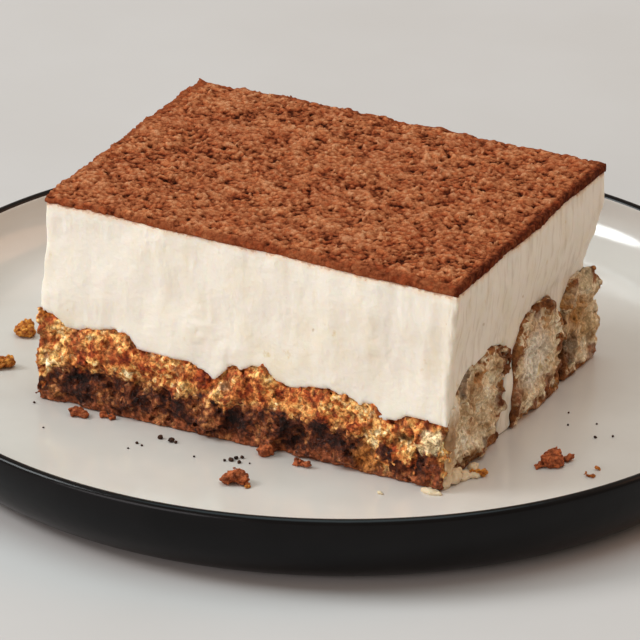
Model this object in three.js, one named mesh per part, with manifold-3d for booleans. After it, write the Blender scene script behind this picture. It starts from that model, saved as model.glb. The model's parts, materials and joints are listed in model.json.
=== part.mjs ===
// A cut portion of tiramisu on a round two-tone stoneware plate.
// Three soaked sponge fingers lie side by side on the plate. Mascarpone cream covers them, fills the gaps
// between them and stands level above them, and a coat of cocoa powder lies on the cream.
// Units are millimetres and +Z is up. The origin is the centre of the plate's foot, on the table.
// X runs along the portion's long side, and Y from its front cut to its back.
import * as THREE from "three";
import { mergeVertices } from "three/addons/utils/BufferGeometryUtils.js";
import Module from "manifold-3d";

const wasm = await Module();
wasm.setup();

// ---------------------------------------------------------------- driving dimensions
const PLATE = {
  rimRadius: 101.5, // outside of the lip
  rimHeight: 17.7, // crest of the lip above the table
  lipWidth: 2.4, // wall thickness at the lip
  wellRadius: 86, // where the flat floor starts to turn up
  wellHeight: 5, // floor of the well above the table
  footRadius: 89, // where the outer wall meets the table
  footWidth: 6,
  footDepth: 1.6, // recess inside the foot ring
  wallSteps: 5,
  lipSteps: 4,
  segments: 64,
};

// Corners of the cut block seen from above, as [x, y]: front left, front right, back right, back left.
const TOP_CORNERS = [[-49.8, -41.5], [50.2, -43.5], [49.4, 35.2], [-54, 37.4]];
const BASE_CORNERS = [[-51.4, -42], [48, -42.2], [46.6, 31.4], [-52.6, 33.6]];
const CREAM_HEIGHT = 46.4; // above the floor of the well, at the middle of the block
const CREAM_FALL = 0.009; // the top sinks by this much for each millimetre towards the right
const BASE_TURN = [0.45, 0.85]; // shares of the height between which the sides lean out to the top corners
const CREAM_WAVE = { depth: 0.5, size: [17, 17, 11] }; // soft waves in the cut faces
const CREAM_STREAK = { depth: 0.35, size: [4, 4, 30] }; // upright streaks that the knife leaves
const CREAM_CELLS = [27, 20, 8];

const COCOA_DEPTH = 1.5; // mean thickness of the powder
const COCOA_LUMP = { depth: 0.45, size: [3.4, 3.4, 1] };
const COCOA_GRAIN = { depth: 0.32, size: [1.9, 1.9, 1] };
const COCOA_OVERHANG = 0.25; // the powder stands this far out of the cut faces
const COCOA_CELLS = [34, 26, 2];

const CLEARANCE = 0.3; // between two layers that touch
const REST_CLEARANCE = 0.05; // between the food and the floor of the well
const CUT_THROUGH = 6; // how far a cutter reaches out of the block
const SPARE_HEIGHT = 4; // what the blocks have above or below the face where cream meets cocoa
const BLOCK_REACH = 80; // farther from the middle than any point of the block
const SPONGE_CRAG = { depth: 1.1, size: [2.9, 2.9, 2.6] }; // in torn or cut sponge
const SPONGE_WAVE = { depth: 0.25, size: [6, 9, 6] }; // under the cream

// Sponge fingers, front to back. from and to are the sides at the base, in Y. left and right are the ends, in X.
// sideFront and sideBack are heights of the sides, as one number or as a line of [x, height] points.
// lean is how far the back side leans back over the finger's height.
const FRONT_SIDE = [
  [-52, 20], [-49, 19], [-45, 14], [-37, 16.5], [-31, 18], [-26, 14], [-14, 14.5], [-9, 9.5],
  [-4, 14], [3, 17.5], [9, 13.5], [20, 15.5], [28, 11.5], [33, 9], [40, 13], [48, 12.5],
];
const BACK_SIDE = [[-54, 15], [-40, 18], [-22, 13], [-5, 17], [12, 12], [28, 16], [40, 18], [52, 17]];
const FINGERS = [
  { name: "sponge_finger_front", from: -43.4, to: -15, left: -51.8, right: 47.8, height: 24.4,
    sideFront: FRONT_SIDE, sideBack: 18.5, lean: 6, cells: [32, 7, 6], bareFront: true },
  { name: "sponge_finger_middle", from: -7.8, to: 16.4, left: -52.4, right: 48.6, height: 24.2,
    sideFront: 18, sideBack: 18.5, lean: 0, cells: [14, 7, 6] },
  { name: "sponge_finger_back", from: 20.2, to: 36.4, left: -53, right: 48.2, height: 23.4,
    sideFront: 19, sideBack: BACK_SIDE, lean: 0, cells: [24, 6, 6], bareBack: true },
];
const SHOULDER_POWER = 4; // how square the rounded top of a finger is

const COLOURS = {
  plate: { color: 0xd9d1c8, roughness: 0.25 },
  sponge: { color: 0xa5662e, roughness: 0.9 },
  cream: { color: 0xf1e8d8, roughness: 0.45 },
  cocoa: { color: 0x7d4527, roughness: 1 },
};

// ---------------------------------------------------------------- number helpers
const { clamp, lerp, smoothstep } = THREE.MathUtils;

// A repeatable pseudo-random number from 0 to 1 for one lattice point.
function latticeValue(i, j, k) {
  const s = Math.sin(i * 127.1 + j * 311.7 + k * 74.7) * 43758.5453;
  return s - Math.floor(s);
}

// Height at a point of a smooth random relief, as high as it is deep.
function relief({ depth, size }, ...point) {
  const [x, y, z] = point.map((value, axis) => value / size[axis]);
  const [i, j, k] = [x, y, z].map(Math.floor);
  const [a, b, c] = [x - i, y - j, z - k].map((t) => t * t * (3 - 2 * t));
  const alongX = (dj, dk) => lerp(latticeValue(i, j + dj, k + dk), latticeValue(i + 1, j + dj, k + dk), a);
  const low = lerp(alongX(0, 0), alongX(1, 0), b);
  const high = lerp(alongX(0, 1), alongX(1, 1), b);
  return depth * (2 * lerp(low, high, c) - 1);
}

// Height at x of a line of [x, height] points, or of a level side given as one number.
function heightAt(line, x) {
  if (typeof line === "number") return line;
  const next = line.findIndex(([px]) => px > x);
  if (next < 0) return line.at(-1)[1];
  if (next === 0) return line[0][1];
  const [[x0, h0], [x1, h1]] = [line[next - 1], line[next]];
  return lerp(h0, h1, smoothstep(x, x0, x1));
}

// ---------------------------------------------------------------- solids
// A closed box of small cells whose points, each from -1 to 1 along the three axes, go where place says.
function placedBox([nx, ny, nz], place) {
  const box = new THREE.BoxGeometry(2, 2, 2, nx, ny, nz);
  box.deleteAttribute("normal");
  box.deleteAttribute("uv");
  const geometry = mergeVertices(box);
  const points = geometry.attributes.position;
  const p = new THREE.Vector3();
  for (let i = 0; i < points.count; i++) {
    p.copy(place(...p.fromBufferAttribute(points, i).toArray()));
    points.setXYZ(i, p.x, p.y, p.z);
  }
  return geometry;
}

function toSolid(geometry) {
  return new wasm.Manifold(new wasm.Mesh({
    numProp: 3,
    vertProperties: geometry.attributes.position.array,
    triVerts: new Uint32Array(geometry.index.array),
  }));
}

function toGeometry(solid) {
  const mesh = solid.getMesh();
  const geometry = new THREE.BufferGeometry();
  geometry.setAttribute("position", new THREE.BufferAttribute(mesh.vertProperties, 3));
  geometry.setIndex(new THREE.BufferAttribute(mesh.triVerts, 1));
  geometry.computeVertexNormals();
  return geometry;
}

function namedMesh(name, geometry, finish) {
  const mesh = new THREE.Mesh(geometry, new THREE.MeshStandardMaterial({ metalness: 0, ...finish }));
  mesh.name = name;
  return mesh;
}

// ---------------------------------------------------------------- plate
// The well's wall and the outer wall are quarter ellipses, and the lip is a half circle.
function plateGeometry() {
  const { rimRadius, rimHeight, lipWidth, wellRadius, wellHeight, footRadius, footWidth, footDepth } = PLATE;
  const lip = lipWidth / 2;
  const lipHeight = rimHeight - lip;
  const innerRadius = rimRadius - lipWidth;
  const profile = [new THREE.Vector2(0, footDepth)];
  profile.push(new THREE.Vector2(footRadius - footWidth - footDepth, footDepth));
  profile.push(new THREE.Vector2(footRadius - footWidth, 0));
  for (let i = 0; i <= PLATE.wallSteps; i++) {
    const turn = (i / PLATE.wallSteps) * (Math.PI / 2);
    const radius = footRadius + (rimRadius - footRadius) * Math.sin(turn);
    profile.push(new THREE.Vector2(radius, lipHeight * (1 - Math.cos(turn))));
  }
  for (let i = 1; i <= PLATE.lipSteps; i++) {
    const turn = (i / PLATE.lipSteps) * Math.PI;
    profile.push(new THREE.Vector2(rimRadius - lip + lip * Math.cos(turn), lipHeight + lip * Math.sin(turn)));
  }
  for (let i = PLATE.wallSteps - 1; i >= 0; i--) {
    const turn = (i / PLATE.wallSteps) * (Math.PI / 2);
    const radius = wellRadius + (innerRadius - wellRadius) * Math.sin(turn);
    profile.push(new THREE.Vector2(radius, wellHeight + (lipHeight - wellHeight) * (1 - Math.cos(turn))));
  }
  profile.push(new THREE.Vector2(0, wellHeight));
  return new THREE.LatheGeometry(profile, PLATE.segments).rotateX(Math.PI / 2);
}

// ---------------------------------------------------------------- sponge fingers
// The place of lattice row t, from -1 to 1, on an axis with spare rows before and after the finger: the share
// of the way through the finger, from 0 to 1, and the count of rows outside it.
function latticePlace(t, rows, spareBefore, spareAfter) {
  const row = ((t + 1) / 2) * (rows + spareBefore + spareAfter) - spareBefore;
  const inside = clamp(row, 0, rows);
  return [inside / rows, row - inside];
}

// One finger, or the cutter that makes its bed in the cream. A cutter is larger all round by the clearance,
// and has spare rows that reach out of the block where the finger shows.
function fingerGeometry(finger, asCutter) {
  const grow = asCutter ? CLEARANCE : 0;
  const spareEnd = asCutter ? 1 : 0;
  const spareFront = asCutter && finger.bareFront ? 1 : 0;
  const spareBack = asCutter && finger.bareBack ? 1 : 0;
  const [rowsX, rowsY, rowsZ] = finger.cells;
  const rows = [rowsX + 2 * spareEnd, rowsY + spareFront + spareBack, rowsZ];
  return placedBox(rows, (u, v, w) => {
    const [along, pastEnd] = latticePlace(u, rowsX, spareEnd, spareEnd);
    const [across, pastSide] = latticePlace(v, rowsY, spareFront, spareBack);
    const atBase = w === -1;
    const x = lerp(finger.left, finger.right, along);
    const sideways = 2 * across - 1;

    const side = sideways < 0 ? finger.sideFront : finger.sideBack;
    const fall = (1 - heightAt(side, x) / finger.height) * Math.abs(sideways) ** SHOULDER_POWER;
    const plainY = lerp(finger.from, finger.to, across);
    const top = finger.height * (1 - fall) + relief(SPONGE_WAVE, x, plainY, 0) + grow;
    const z = atBase ? REST_CLEARANCE - 2 * grow : ((w + 1) / 2) * top;

    const lean = finger.lean * across * (z / finger.height);
    const y = lerp(finger.from - grow, finger.to + grow, across) + lean + pastSide * CUT_THROUGH;
    const bareSide = (finger.bareFront && across === 0) || (finger.bareBack && across === 1);
    const crag = asCutter || atBase ? 0 : relief(SPONGE_CRAG, x, y, z);
    const cragX = Math.abs(u) === 1 ? crag : 0;
    const cragY = bareSide && w < 1 ? crag : 0;
    return new THREE.Vector3(x + pastEnd * CUT_THROUGH + cragX, y + cragY, z);
  });
}

// ---------------------------------------------------------------- cream and cocoa
// The point of a four-cornered outline at u and v, each from -1 to 1.
function outlinePoint([frontLeft, frontRight, backRight, backLeft], u, v) {
  const [along, across] = [(u + 1) / 2, (v + 1) / 2];
  return [0, 1].map((axis) => {
    const front = lerp(frontLeft[axis], frontRight[axis], along);
    const back = lerp(backLeft[axis], backRight[axis], along);
    return lerp(front, back, across);
  });
}

// 1 or -1 on the two outer sides of a placed box, and 0 between them.
function atSide(t) {
  return Math.abs(t) === 1 ? t : 0;
}

// The cut block between two heights, with soft waves and streaks in its four cut faces. The faces stand
// out by the overhang, and the top has the given reliefs.
function blockGeometry(cells, bottom, top, overhang, topReliefs) {
  return placedBox(cells, (u, v, w) => {
    const z = lerp(bottom, top, (w + 1) / 2);
    const lean = smoothstep(z / CREAM_HEIGHT, ...BASE_TURN);
    const [topX, topY] = outlinePoint(TOP_CORNERS, u, v);
    const [baseX, baseY] = outlinePoint(BASE_CORNERS, u, v);
    const [x, y] = [lerp(baseX, topX, lean), lerp(baseY, topY, lean)];
    const out = overhang + relief(CREAM_WAVE, x, y, z) + relief(CREAM_STREAK, x, y, z);
    const lumps = w === 1 ? topReliefs.reduce((sum, each) => sum + relief(each, x, y, 0), 0) : 0;
    return new THREE.Vector3(x + atSide(u) * out, y + atSide(v) * out, z + lumps);
  });
}

// Everything above the cream's sloping top raised by lift, up to the reach of the block.
function spaceAboveCream(lift) {
  return toSolid(placedBox([1, 1, 1], (u, v, w) => {
    const x = u * BLOCK_REACH;
    const slope = CREAM_HEIGHT - CREAM_FALL * x + lift;
    return new THREE.Vector3(x, v * BLOCK_REACH, w > 0 ? BLOCK_REACH : slope);
  }));
}

function creamGeometry() {
  const block = blockGeometry(CREAM_CELLS, REST_CLEARANCE, CREAM_HEIGHT + SPARE_HEIGHT, 0, []);
  let cream = toSolid(block).subtract(spaceAboveCream(0));
  for (const finger of FINGERS) cream = cream.subtract(toSolid(fingerGeometry(finger, true)));
  return toGeometry(cream);
}

function cocoaGeometry() {
  const [bottom, top] = [CREAM_HEIGHT - SPARE_HEIGHT, CREAM_HEIGHT + COCOA_DEPTH];
  const powder = blockGeometry(COCOA_CELLS, bottom, top, COCOA_OVERHANG, [COCOA_LUMP, COCOA_GRAIN]);
  return toGeometry(toSolid(powder).intersect(spaceAboveCream(CLEARANCE)));
}

// ---------------------------------------------------------------- the whole
const portion = new THREE.Group();
portion.position.z = PLATE.wellHeight;
for (const finger of FINGERS) {
  portion.add(namedMesh(finger.name, fingerGeometry(finger, false), COLOURS.sponge));
}
portion.add(namedMesh("mascarpone_cream", creamGeometry(), COLOURS.cream));
portion.add(namedMesh("cocoa_powder", cocoaGeometry(), COLOURS.cocoa));

const tiramisu = new THREE.Group();
tiramisu.add(namedMesh("plate", plateGeometry(), COLOURS.plate), portion);

export default tiramisu;
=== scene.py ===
"""Looks of a cut tiramisu portion on its two-tone plate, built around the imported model.

Every food layer is carved from a copy of its own solid: a Geometry Nodes modifier samples the solid as a
volume, cuts crumb, streaks or powder lumps into the faces that show, and is then applied.
Lengths are metres in the row frame: +X along the portion, +Y from its front cut to its back, +Z up.
"""

from __future__ import annotations

import json
import logging
import math
import random
from contextlib import contextmanager
from dataclasses import dataclass
from enum import Enum
from typing import Any, Callable, Iterator, Optional, Sequence, Union

import bpy
import numpy as np
from mathutils import Matrix, Vector

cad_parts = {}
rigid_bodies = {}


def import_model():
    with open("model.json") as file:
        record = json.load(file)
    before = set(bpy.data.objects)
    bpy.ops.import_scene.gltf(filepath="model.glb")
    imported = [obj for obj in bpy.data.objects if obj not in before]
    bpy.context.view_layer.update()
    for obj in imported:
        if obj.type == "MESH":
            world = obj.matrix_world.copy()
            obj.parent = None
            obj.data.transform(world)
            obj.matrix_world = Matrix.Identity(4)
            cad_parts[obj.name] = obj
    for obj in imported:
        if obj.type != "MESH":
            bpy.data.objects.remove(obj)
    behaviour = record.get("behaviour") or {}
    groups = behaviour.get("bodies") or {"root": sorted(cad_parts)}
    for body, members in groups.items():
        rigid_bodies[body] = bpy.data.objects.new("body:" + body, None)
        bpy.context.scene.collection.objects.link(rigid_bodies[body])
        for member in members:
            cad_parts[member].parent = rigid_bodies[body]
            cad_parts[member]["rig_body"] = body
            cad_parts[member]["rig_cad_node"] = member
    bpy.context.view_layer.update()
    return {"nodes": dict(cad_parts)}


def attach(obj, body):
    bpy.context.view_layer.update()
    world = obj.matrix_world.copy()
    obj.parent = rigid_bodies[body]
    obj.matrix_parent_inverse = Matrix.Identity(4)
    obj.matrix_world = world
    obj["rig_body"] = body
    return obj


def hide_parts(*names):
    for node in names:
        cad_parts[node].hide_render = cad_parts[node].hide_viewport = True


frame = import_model()
LOG = logging.getLogger("tiramisu")

MM = 0.001
WELL_HEIGHT = 5 * MM  # the floor of the plate, on which the food lies
MOST_TRIANGLES = 190_000  # in one piece
SAME_PLACE = 0.001 * MM  # points nearer than this are one point
CREAM_TOP = 51.4 * MM  # where cocoa meets cream, at the middle of the block
CREAM_FALL = 0.009  # how far that face sinks for each unit of length towards the right

Piece = bpy.types.Object
Socket = bpy.types.NodeSocket
Input = Union[float, int, str, Sequence[float], Socket]
Pair = tuple[float, float]
Triple = tuple[float, float, float]
Stops = tuple[tuple[float, str], ...]  # values in rising order, each with its screen colour


def colour(code: str) -> tuple[float, float, float, float]:
    """Turns a screen colour into the linear colour that a shader takes.

    Args:
        code: six hexadecimal digits, red, green and blue.

    Returns:
        Linear red, green, blue and an alpha of 1.
    """
    channels = [int(code[i : i + 2], 16) / 255 for i in (0, 2, 4)]
    # the curve of the sRGB standard, straight near black
    linear = [c / 12.92 if c <= 0.04045 else ((c + 0.055) / 1.055) ** 2.4 for c in channels]
    return (linear[0], linear[1], linear[2], 1.0)


class Graph:
    """Adds nodes to a node tree, sets them and links them. It serves shaders and Geometry Nodes alike."""

    def __init__(self, tree: bpy.types.NodeTree) -> None:
        """Starts on the node tree that gets the nodes."""
        self.tree = tree

    def feed(self, socket: Socket, value: Input) -> None:
        """Links an output to a socket, or sets the socket's own value.

        Args:
            socket: the input socket.
            value: an output socket, or a constant.
        """
        if isinstance(value, Socket):
            self.tree.links.new(value, socket)
        else:
            socket.default_value = value

    def add(self, kind: str, inputs: Optional[dict[str, Input]] = None, **settings: Any) -> bpy.types.Node:
        """Adds one node.

        Args:
            kind: the node's type name.
            inputs: values or links for its inputs, by the inputs' names.
            **settings: the node's own properties.

        Returns:
            The new node.
        """
        node = self.tree.nodes.new(kind)
        for name, value in settings.items():
            setattr(node, name, value)
        for name, value in (inputs or {}).items():
            self.feed(next(s for s in node.inputs if s.enabled and s.name == name), value)
        return node

    def math(self, operation: str, *values: Input, clamp: bool = False) -> Socket:
        """Adds a Math node.

        Args:
            operation: what it does with its values.
            *values: the values, in the node's order.
            clamp: whether the result is kept between 0 and 1.

        Returns:
            The result.
        """
        node = self.add("ShaderNodeMath", operation=operation, use_clamp=clamp)
        for socket, value in zip(node.inputs, values):
            self.feed(socket, value)
        return node.outputs[0]

    def times(self, first: Input, second: Input) -> Socket:
        """Multiplies two numbers."""
        return self.math("MULTIPLY", first, second)

    def minus(self, first: Input, second: Input) -> Socket:
        """Takes the second number from the first."""
        return self.math("SUBTRACT", first, second)

    def line(self, value: Input, slope: Input, start: Input) -> Socket:
        """Multiplies a number by a slope and adds a start."""
        return self.math("MULTIPLY_ADD", value, slope, start)

    def vector(self, operation: str, *values: Input) -> Socket:
        """Adds a Vector Math node.

        Args:
            operation: what it does with its values.
            *values: the values, in the node's order.

        Returns:
            The result, a vector or a number.
        """
        node = self.add("ShaderNodeVectorMath", operation=operation)
        for socket, value in zip((s for s in node.inputs if s.enabled), values):
            self.feed(socket, value)
        return next(s for s in node.outputs if s.enabled)

    def axes(self, place: Socket) -> tuple[Socket, Socket, Socket]:
        """Splits a vector into its three coordinates."""
        split = self.add("ShaderNodeSeparateXYZ", {"Vector": place})
        return split.outputs[0], split.outputs[1], split.outputs[2]

    def smooth(self, value: Socket, start: Input, end: Input) -> Socket:
        """Smooth step of a value: 0 at start and 1 at end, which may lie below start."""
        inputs = {"Value": value, "From Min": start, "From Max": end}
        return self.add("ShaderNodeMapRange", inputs, interpolation_type="SMOOTHSTEP").outputs[0]

    def noise(self, place: Socket, size: Union[float, Triple], detail: float = 2.0, shift: float = 0.0,
              rough: float = 0.5) -> Socket:
        """Smooth noise, mostly between -1 and 1.

        Args:
            place: where it is read.
            size: how large its forms are, or how large along X, Y and Z.
            detail: how many finer layers it holds.
            shift: moves the pattern, so that two layers differ.
            rough: how strong the finer layers are.

        Returns:
            The noise at that place.
        """
        sizes = size if isinstance(size, tuple) else (size,) * 3
        scaled = self.vector("ADD", self.vector("DIVIDE", place, sizes), (shift,) * 3)
        inputs = {"Vector": scaled, "Scale": 1.0, "Detail": detail, "Roughness": rough}
        texture = self.add("ShaderNodeTexNoise", inputs)
        return self.line(texture.outputs[0], 4.0, -2.0)  # the texture itself runs from 0 to 1

    def cells(self, place: Socket, size: float, shift: float = 0.0) -> tuple[Socket, Socket]:
        """Scattered points in space.

        Args:
            place: where they are read.
            size: their mean spacing.
            shift: moves the pattern.

        Returns:
            The distance to the nearest point, and a vector of three random numbers that belongs to it.
        """
        scaled = self.vector("ADD", self.vector("DIVIDE", place, (size,) * 3), (shift,) * 3)
        texture = self.add("ShaderNodeTexVoronoi", {"Vector": scaled, "Scale": 1.0})
        return self.times(texture.outputs["Distance"], size), texture.outputs["Color"]

    def warp(self, place: Socket, size: float, reach: float) -> Socket:
        """Shifts a place at random, so that a regular pattern read there becomes uneven.

        Args:
            place: the place.
            size: how large the shifts' forms are.
            reach: about the longest shift.

        Returns:
            The shifted place.
        """
        scaled = self.vector("DIVIDE", place, (size,) * 3)
        texture = self.add("ShaderNodeTexNoise", {"Vector": scaled, "Scale": 1.0, "Detail": 1.0})
        offset = self.vector("SUBTRACT", texture.outputs["Color"], (0.5, 0.5, 0.5))
        return self.vector("MULTIPLY_ADD", offset, (3 * reach,) * 3, place)

    def ramp(self, value: Socket, stops: Stops) -> Socket:
        """Colours along a value.

        Args:
            value: the value.
            stops: values in rising order, each with the screen colour that it gets.

        Returns:
            The colour.
        """
        start, end = stops[0][0], stops[-1][0]
        span = {"Value": value, "From Min": start, "From Max": end}
        share = self.add("ShaderNodeMapRange", span).outputs[0]
        node = self.add("ShaderNodeValToRGB", {"Fac": share})
        elements = node.color_ramp.elements
        elements[0].color = colour(stops[0][1])
        elements[1].color = colour(stops[-1][1])
        for at, code in stops[1:-1]:
            elements.new((at - start) / (end - start)).color = colour(code)
        return node.outputs[0]

    def blend(self, share: Input, low: Input, high: Input, mode: str = "MIX") -> Socket:
        """Mixes two colours.

        Args:
            share: how much of the second one is taken, from 0 to 1.
            low: the first colour.
            high: the second colour.
            mode: the blend mode.

        Returns:
            The mixed colour.
        """
        node = self.add("ShaderNodeMix", data_type="RGBA", blend_type=mode)
        for socket, value in zip((s for s in node.inputs if s.enabled), (share, low, high)):
            self.feed(socket, value)
        return next(s for s in node.outputs if s.enabled)

    def shade(self, shown: Socket, light: Socket, green: float = 1.12, blue: float = 1.3) -> Socket:
        """Darkens or lightens a colour, more in green and blue than in red, so that its shadows stay warm.

        Args:
            shown: the colour.
            light: how bright it becomes, with 1 for no change.
            green: the power of that number in the green channel.
            blue: its power in the blue channel.

        Returns:
            The shaded colour.
        """
        channels = {"X": light, "Y": self.math("POWER", light, green), "Z": self.math("POWER", light, blue)}
        return self.vector("MULTIPLY", shown, self.add("ShaderNodeCombineXYZ", channels).outputs[0])

    def attribute(self, name: str) -> Socket:
        """Reads a number that the mesh carries, inside a material."""
        return self.add("ShaderNodeAttribute", attribute_name=name).outputs["Fac"]


# ---------------------------------------------------------------- hands on meshes


def select_only(piece: Piece) -> None:
    """Leaves one object selected and active, out of edit mode."""
    if bpy.context.object and bpy.context.object.mode != "OBJECT":
        bpy.ops.object.mode_set(mode="OBJECT")
    bpy.ops.object.select_all(action="DESELECT")
    piece.select_set(True)
    bpy.context.view_layer.objects.active = piece


def name_piece(piece: Piece, name: str) -> None:
    """Gives a piece and its mesh their name."""
    piece.name = name
    piece.data.name = name


def select_faces(piece: Piece, wanted: Callable[[bpy.types.MeshPolygon], bool]) -> None:
    """Goes into edit mode on a piece with only some of its faces selected.

    Args:
        piece: the piece.
        wanted: says of a face whether it is selected.
    """
    select_only(piece)
    bpy.ops.object.mode_set(mode="EDIT")
    bpy.ops.mesh.select_mode(type="FACE")
    bpy.ops.mesh.select_all(action="DESELECT")
    bpy.ops.object.mode_set(mode="OBJECT")
    for face in piece.data.polygons:
        face.select = wanted(face)
    bpy.ops.object.mode_set(mode="EDIT")


@contextmanager
def edit_mode() -> Iterator[None]:
    """Holds the active piece in edit mode for the length of a with block."""
    bpy.ops.object.mode_set(mode="EDIT")
    yield
    bpy.ops.object.mode_set(mode="OBJECT")


def apply_modifier(piece: Piece, modifier: bpy.types.Modifier) -> None:
    """Applies a modifier to its piece."""
    select_only(piece)
    bpy.ops.object.modifier_apply(modifier=modifier.name)


def fuse(piece: Piece, voxel: float) -> None:
    """Makes one closed skin round overlapping forms by a voxel remesh.

    Args:
        piece: the overlapping forms, in one object.
        voxel: the size of the voxels.
    """
    modifier = piece.modifiers.new("fuse", "REMESH")
    modifier.mode = "VOXEL"
    modifier.voxel_size = voxel
    apply_modifier(piece, modifier)


def add_ball(place: Vector, radius: float, subdivisions: int) -> Piece:
    """Adds a faceted ball, with nothing else selected.

    Args:
        place: its middle, in metres.
        radius: its radius, in metres.
        subdivisions: how finely it is faceted.

    Returns:
        The ball.
    """
    bpy.ops.object.select_all(action="DESELECT")
    bpy.ops.mesh.primitive_ico_sphere_add(subdivisions=subdivisions, radius=radius, location=place)
    return bpy.context.object


def thin(piece: Piece, share: float, group: str = "") -> None:
    """Merges faces until a share of them is left.

    Args:
        piece: the piece.
        share: the share that stays.
        group: the vertex group that may change, or none for the whole piece.
    """
    modifier = piece.modifiers.new("thinning", "DECIMATE")
    modifier.ratio = share
    modifier.vertex_group = group
    apply_modifier(piece, modifier)


def join(pieces: Sequence[Piece], name: str) -> Piece:
    """Joins pieces into one and names it.

    Args:
        pieces: the pieces.
        name: the new piece's name.

    Returns:
        The new piece, at the origin, unturned and unscaled.
    """
    select_only(pieces[0])
    for piece in pieces:
        piece.select_set(True)
    bpy.ops.object.join()
    joined = bpy.context.object
    bpy.ops.object.transform_apply(location=True, rotation=True, scale=True)
    name_piece(joined, name)
    return joined


def copy_of_node(node: str, name: str) -> Piece:
    """Copies a CAD node and joins its loose triangles into one closed mesh.

    Args:
        node: the CAD node's name.
        name: the name of the new piece.

    Returns:
        The new piece.
    """
    select_only(frame["nodes"][node])
    bpy.ops.object.duplicate(linked=False)
    piece = bpy.context.object
    bpy.ops.object.parent_clear(type="CLEAR_KEEP_TRANSFORM")
    name_piece(piece, name)
    piece.data.materials.clear()
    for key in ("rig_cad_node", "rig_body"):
        del piece[key]
    with edit_mode():
        bpy.ops.mesh.select_all(action="SELECT")
        bpy.ops.mesh.remove_doubles(threshold=SAME_PLACE)
    return piece


def triangle_count(piece: Piece) -> int:
    """Counts a piece's triangles."""
    piece.data.calc_loop_triangles()
    return len(piece.data.loop_triangles)


def mount(piece: Piece, slot: str, *nodes: str) -> None:
    """Puts a finished piece on the object's body, hides the solids that it replaces and logs its slot.

    Args:
        piece: the finished piece.
        slot: the record's material slot, which is only logged.
        *nodes: the CAD nodes that it replaces.
    """
    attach(piece, "root")
    if nodes:
        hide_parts(*nodes)
    LOG.info("%s: %d triangles, slot %s", piece.name, triangle_count(piece), slot)


# ---------------------------------------------------------------- the block's walls


class Side(Enum):
    """A wall of the block, by the places of its two corners in the corner lists."""

    FRONT = (0, 1)
    RIGHT = (1, 2)
    BACK = (2, 3)
    LEFT = (3, 0)


@dataclass(frozen=True)
class Block:
    """The cut block of cream and sponge. Its walls lean out from the base corners to the top corners."""

    # Corners in millimetres, anticlockwise from the front left.
    base_corners:tuple[Pair, ...] = ((-51.4, -42.0), (48.0, -42.2), (46.6, 31.4), (-52.6, 33.6))
    top_corners: tuple[Pair, ...] = ((-49.8, -41.5), (50.2, -43.5), (49.4, 35.2), (-54.0, 37.4))
    height: float = 46.4 * MM
    turn: Pair = (0.45, 0.85)  # shares of the height between which the walls lean out

    def depth_behind(self, graph: Graph, place: Socket, side: Side) -> Socket:
        """How far a place lies behind one wall.

        Args:
            graph: the node tree that gets the nodes.
            place: the place.
            side: the wall.

        Returns:
            The distance in metres, below 0 outside the wall.
        """
        base = [Vector((*self.base_corners[i], 0)) * MM for i in side.value]
        top = [Vector((*self.top_corners[i], 0)) * MM for i in side.value]
        along = (base[1] - base[0]).normalized()
        inward = Vector((-along.y, along.x, 0))
        out = (base[0] + base[1] - top[0] - top[1]).dot(inward) / 2
        height = graph.minus(graph.axes(place)[2], WELL_HEIGHT)
        lean = graph.smooth(height, self.turn[0] * self.height, self.turn[1] * self.height)
        depth = graph.minus(graph.vector("DOT_PRODUCT", place, inward), base[0].dot(inward))
        return graph.line(lean, out, depth)


BLOCK = Block()
ON_POINTS = {"data_type": "FLOAT", "domain": "POINT"}  # for nodes that read or store a number at points


# ---------------------------------------------------------------- cuts


@dataclass(frozen=True)
class Cut:
    """A change to a solid's face, given by how it changes the depth of a place under that face."""

    def deepen(self, graph: Graph, place: Socket, depth: Socket, bare: Socket) -> Socket:
        """Changes the depth. Each kind of cut does it in its own way.

        Args:
            graph: the node tree that gets the nodes.
            place: where the depth is asked.
            depth: the depth before the cut, in metres.
            bare: 1 where the cut has its full strength, 0 where it does nothing.

        Returns:
            The depth after the cut.
        """
        raise NotImplementedError


@dataclass(frozen=True)
class Swell(Cut):
    """Lets the bare faces stand out evenly."""

    height: float

    def deepen(self, graph: Graph, place: Socket, depth: Socket, bare: Socket) -> Socket:
        """Adds an even height."""
        return graph.line(bare, self.height, depth)


@dataclass(frozen=True)
class Relief(Cut):
    """Smooth random relief."""

    height: float
    size: Union[float, Triple]  # of its forms, or along X, Y and Z
    detail: float = 1.0
    shift: float = 0.0
    lean: Pair = (0.0, 0.0)  # how far the forms shift along X and Y for each unit of height
    patch: float = 0.0  # size of the patches that have the relief, or 0 where it is all over
    rough: float = 0.5  # how strong its finer layers are

    def deepen(self, graph: Graph, place: Socket, depth: Socket, bare: Socket) -> Socket:
        """Adds a random height, up or down."""
        if self.patch:
            patches = graph.noise(place, self.patch, 1.0, self.shift + 7)
            bare = graph.times(bare, graph.smooth(patches, -0.3, 0.6))
        if any(self.lean):
            up = graph.axes(place)[2]
            upwards = graph.add("ShaderNodeCombineXYZ", {"X": up, "Y": up}).outputs[0]
            place = graph.vector("MULTIPLY_ADD", upwards, (*self.lean, 0), place)
        noise = graph.noise(place, self.size, self.detail, self.shift, self.rough)
        return graph.line(graph.times(noise, bare), self.height, depth)


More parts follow.
